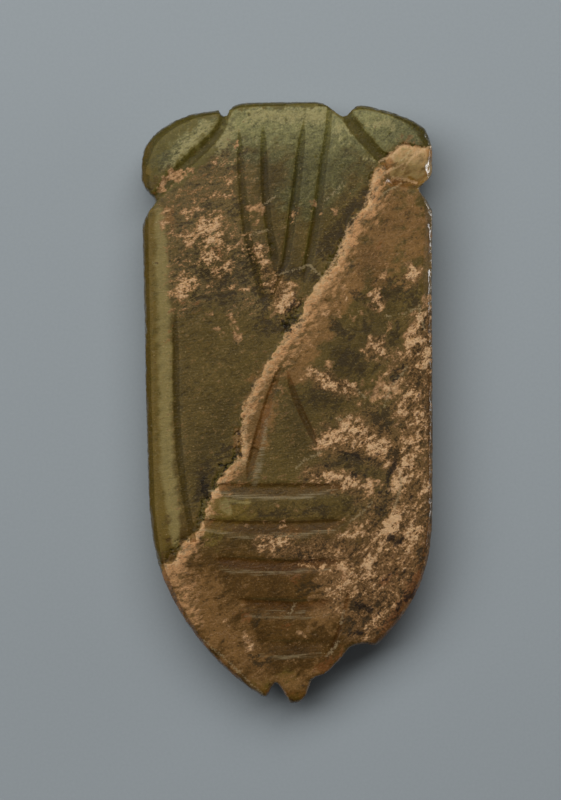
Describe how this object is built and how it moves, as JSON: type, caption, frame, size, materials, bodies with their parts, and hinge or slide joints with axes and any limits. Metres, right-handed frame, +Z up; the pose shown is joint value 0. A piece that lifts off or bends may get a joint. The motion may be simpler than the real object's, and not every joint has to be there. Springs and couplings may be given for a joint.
{
  "type": "jade cicada amulet",
  "caption": "Flat carved jade cicada amulet lying belly up: grooved head, notched eyes, folded wings and a ringed abdomen, with a mended diagonal break.",
  "frame": {"origin": "centre of the length and width, on the surface that the resting back lies on", "axes": "+Y along the body towards the head, +Z up out of the carved belly, +X to the viewer's right when looking down with the head up"},
  "size_m": [0.029, 0.06, 0.006],
  "materials": {
    "jade": "polished olive jade with tan and brown burial stains"
  },
  "bodies": {
    "root": {"jade_cicada": "jade"}
  },
  "joints": []
}
